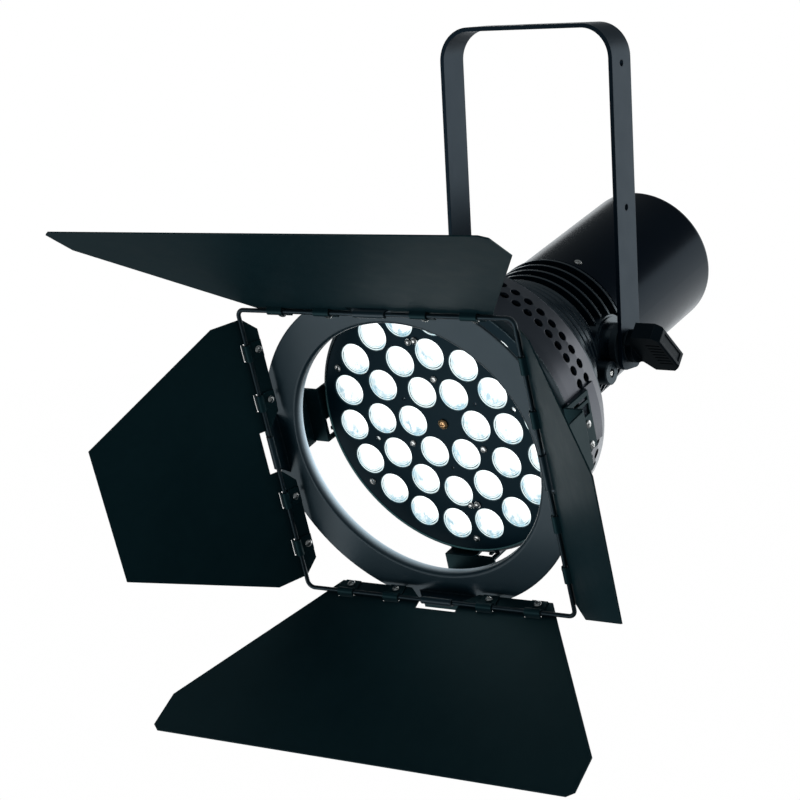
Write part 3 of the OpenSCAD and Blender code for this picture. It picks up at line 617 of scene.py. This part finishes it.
def screws(node):
    """Domed cross-head screws in place of a node's plain ones, each turned its own way."""
    bm = bmesh.new()
    heads = {}
    for count, (points, faces) in enumerate(islands(NODES[node])):
        at, axis, head_r, head_h, end_r, length = fastener(points, faces)
        size = (round(head_r, 5), round(head_h, 5))
        if size not in heads:
            heads[size] = phillips_head(*size)
        place = Matrix.Translation(at) @ axis.to_track_quat("Z", "Y").to_matrix().to_4x4()
        place = place @ Matrix.Rotation(count * 2.4, 4, "Z")
        before = set(bm.verts)
        bm.from_mesh(heads[size])
        bmesh.ops.transform(bm, matrix=place, verts=[v for v in bm.verts if v not in before])
        nut = end_r > head_r
        shank_r = CLIP_SHANK_R if nut else end_r
        lathe(bm, [(shank_r, 0.0), (shank_r, -length), (0.0, -length)], place, 20)
        if nut:
            flat = end_r * 0.94
            lathe(bm, [(flat, NUT_H - length), (end_r, NUT_H - NUT_EDGE - length),
                       (end_r, 1.5 * NUT_EDGE - length), (flat, -length), (0.0, -length)], place, 6)
    piece = add_piece("domed_" + node, bm, M[SLOT[node]], BODY[node], SLOT[node], node)
    piece.data.set_sharp_from_angle(angle=math.radians(35))


def ball_studs(node):
    """Round-headed studs in place of a node's plain ones."""
    bm = bmesh.new()
    for points, faces in islands(NODES[node]):
        at, axis, head_r, head_h, end_r, length = fastener(points, faces)
        place = Matrix.Translation(at) @ axis.to_track_quat("Z", "Y").to_matrix().to_4x4()
        profile = [(0.0, head_h)]
        profile += [(head_r * math.sin(math.pi / 16 * i), head_h * (0.3 + 0.7 * math.cos(math.pi / 16 * i)))
                    for i in range(1, 9)]
        profile += [(head_r * 0.8, 0.0), (end_r, 0.0), (end_r, -length), (0.0, -length)]
        lathe(bm, profile, place, 28)
    piece = add_piece("round_" + node, bm, M[SLOT[node]], BODY[node], SLOT[node], node)
    piece.data.set_sharp_from_angle(angle=math.radians(50))


ball_studs("plate_studs")
for holder in ("plate_screws", "centre_screw", "can_screws", "rear_screws", "holder_screws", "bumper_screws",
               "clip_screws_top", "clip_screws_right", "clip_screws_bottom", "clip_screws_left"):
    screws(holder)


# ---- camera, light and surroundings -------------------------------------------

AZ, EL, ROLL = math.radians(35.877), math.radians(10.458), math.radians(-3.042)
AWAY, ASIDE, BELOW = 1.61774, -0.10303, -0.04216


def direction(azimuth, elevation):
    """Unit vector from the lamp, azimuth 0 in front and 90 on its right, both in radians."""
    return Vector((math.sin(azimuth) * math.cos(elevation), -math.cos(azimuth) * math.cos(elevation),
                   math.sin(elevation)))


z_cam = direction(AZ, EL)
x0 = Vector((0, 0, 1)).cross(z_cam).normalized()
y0 = z_cam.cross(x0)
x_cam = x0 * math.cos(ROLL) + y0 * math.sin(ROLL)
y_cam = y0 * math.cos(ROLL) - x0 * math.sin(ROLL)
where = z_cam * AWAY + x_cam * ASIDE + y_cam * BELOW + Vector((0, 0, PIVOT_Z))
cam_data = bpy.data.cameras.new("camera")
cam_data.sensor_width = 36
cam_data.lens = 102.47
cam_data.clip_start, cam_data.clip_end = 0.05, 200
cam = bpy.data.objects.new("camera", cam_data)
cam.matrix_world = Matrix((
    (x_cam.x, y_cam.x, z_cam.x, where.x), (x_cam.y, y_cam.y, z_cam.y, where.y),
    (x_cam.z, y_cam.z, z_cam.z, where.z), (0, 0, 0, 1)))
bpy.context.scene.collection.objects.link(cam)
bpy.context.scene.camera = cam
bpy.context.scene.view_settings.view_transform = "Standard"


def white_mat(name, strength):
    mat = new_mat(name)
    n, l = nodes_of(mat)
    n.remove(n["Principled BSDF"])
    em = n.new("ShaderNodeEmission")
    em.inputs["Color"].default_value = (1, 1, 1, 1)
    em.inputs["Strength"].default_value = strength
    l.new(em.outputs["Emission"], n["Material Output"].inputs["Surface"])
    return mat


def surround(name, bm, strength):
    """A white surface that only the camera sees."""
    mesh = bpy.data.meshes.new(name)
    bm.to_mesh(mesh)
    bm.free()
    ob = bpy.data.objects.new(name, mesh)
    mesh.materials.append(white_mat(name, strength))
    bpy.context.scene.collection.objects.link(ob)
    for ray in ("diffuse", "glossy", "transmission", "shadow", "volume_scatter"):
        setattr(ob, "visible_" + ray, False)


BACKDROP_R, FLOOR_R, FLOOR_Z = 20, 12, -2.2
dome = bmesh.new()
bmesh.ops.create_icosphere(dome, subdivisions=4, radius=BACKDROP_R)
surround("backdrop", dome, 1.0)
floor = bmesh.new()
bmesh.ops.create_circle(floor, cap_ends=True, segments=64, radius=FLOOR_R,
                        matrix=Matrix.Translation((0, 0, FLOOR_Z)))
surround("floor", floor, 0.998)

world = bpy.data.worlds.new("room")
world.use_nodes = True
world.node_tree.nodes["Background"].inputs["Color"].default_value = (0.86, 0.95, 1.0, 1)
world.node_tree.nodes["Background"].inputs["Strength"].default_value = 0.13
bpy.context.scene.world = world


def softbox(name, azimuth, elevation, distance, size, radiance):
    """A soft panel in that direction from the lamp, in degrees and metres."""
    light = bpy.data.lights.new(name, "AREA")
    light.shape = "RECTANGLE"
    light.size, light.size_y = size
    light.energy = radiance * math.pi * size[0] * size[1]
    light.color = (0.95, 0.98, 1.0)
    aim = Vector((0, -0.05, -0.22))
    way = direction(math.radians(azimuth), math.radians(elevation))
    ob = bpy.data.objects.new(name, light)
    ob.location = aim + way * distance
    ob.rotation_euler = (-way).to_track_quat("-Z", "Y").to_euler()
    ob.visible_camera = False
    bpy.context.scene.collection.objects.link(ob)


softbox("back", 176, -1, 2.6, (5.3, 2.1), 1.15)
softbox("front_left", -34, -30, 2.4, (1.9, 1.7), 1.45)
softbox("right", 90, 10, 2.3, (2.2, 0.9), 0.5)
softbox("top", 20, 78, 2.2, (1.4, 1.0), 0.25)
